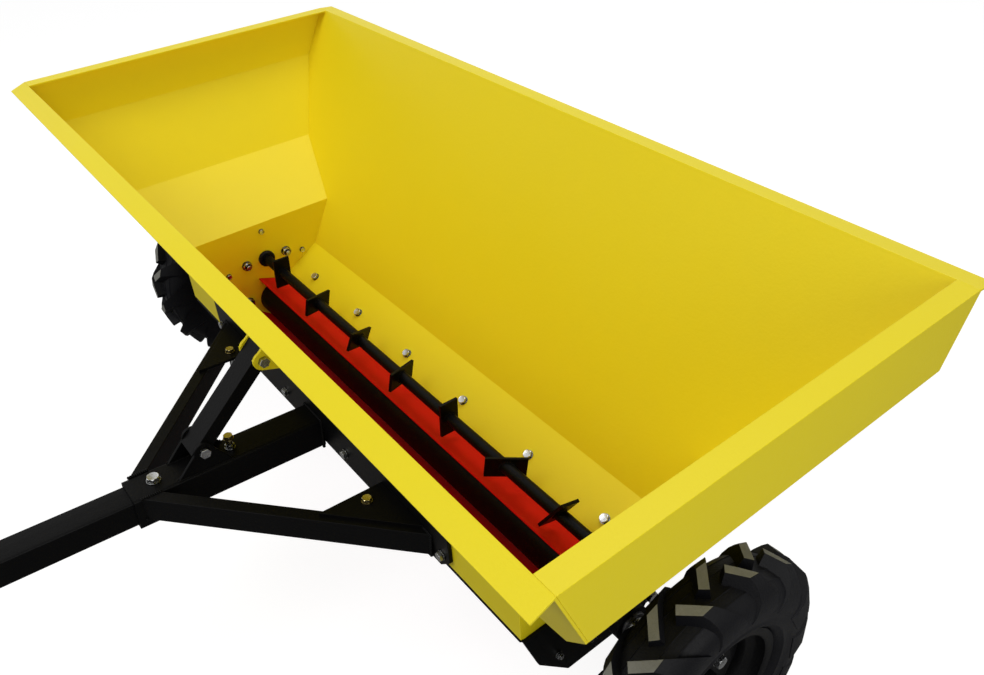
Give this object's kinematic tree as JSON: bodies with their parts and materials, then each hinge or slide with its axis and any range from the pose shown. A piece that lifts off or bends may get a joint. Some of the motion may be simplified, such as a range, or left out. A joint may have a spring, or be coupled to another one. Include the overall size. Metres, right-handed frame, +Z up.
{
  "type": "towed sand spreader",
  "caption": "Towed sand spreader: sheet-metal hopper over a feed roller and paddle agitator, on two lugged tyres, with a braced drawbar, ball coupler and parking leg.",
  "frame": {"origin": "on the ground under the middle of the machine's length and width", "axes": "+X across to the left side, +Y to the rear, +Z up; the drawbar points to -Y"},
  "size_m": [1.496, 1.5682, 0.7],
  "materials": {
    "yellow_paint": "gloss powder coat",
    "red_paint": "gloss powder coat",
    "black_paint": "satin powder coat",
    "rim_paint": "satin",
    "bearing_iron": "satin paint",
    "plated_steel": "zinc plated",
    "tyre_rubber": "matt, dusty on the lugs"
  },
  "bodies": {
    "frame": {"agitator_bearing_left": "bearing_iron", "agitator_bearing_right": "bearing_iron", "axle_bearing_left": "bearing_iron", "axle_bearing_right": "bearing_iron", "brace_left": "black_paint", "brace_right": "black_paint", "chain_cover": "black_paint", "coupler": "black_paint", "cross_member": "black_paint", "drawbar": "black_paint", "drawbar_sleeve": "black_paint", "floor_plate": "red_paint", "front_rail": "black_paint", "gusset_left": "black_paint", "gusset_right": "black_paint", "hopper_ears": "yellow_paint", "hopper_end_left": "yellow_paint", "hopper_end_right": "yellow_paint", "hopper_front": "yellow_paint", "hopper_rear": "yellow_paint", "leg_clamp": "black_paint", "lip_plate": "red_paint", "parking_leg": "black_paint", "side_carrier_left": "black_paint", "side_carrier_right": "black_paint", "sleeve_cheeks": "black_paint", "strut": "black_paint", "strut_pins": "plated_steel"},
    "drive_axle": {"axle": "plated_steel", "roller": "black_paint", "hub_left": "rim_paint", "rim_left": "rim_paint", "tyre_left": "tyre_rubber"},
    "wheel_right": {"hub_right": "rim_paint", "rim_right": "rim_paint", "tyre_right": "tyre_rubber"},
    "agitator": {"agitator_shaft": "black_paint", "agitator_paddles": "black_paint"}
  },
  "joints": [
    {"name": "axle_spin", "type": "hinge", "parent": "frame", "child": "drive_axle", "pos_m": [0, 0.42756, 0.202], "axis": [1, 0, 0], "continuous": true},
    {"name": "right_wheel_spin", "type": "hinge", "parent": "frame", "child": "wheel_right", "pos_m": [0, 0.42756, 0.202], "axis": [1, 0, 0], "continuous": true},
    {"name": "agitator_spin", "type": "hinge", "parent": "frame", "child": "agitator", "pos_m": [0, 0.42756, 0.297], "axis": [1, 0, 0], "continuous": true}
  ],
  "couplings": [
    {"joint": "agitator_spin", "follows": "axle_spin", "ratio": 1}
  ]
}
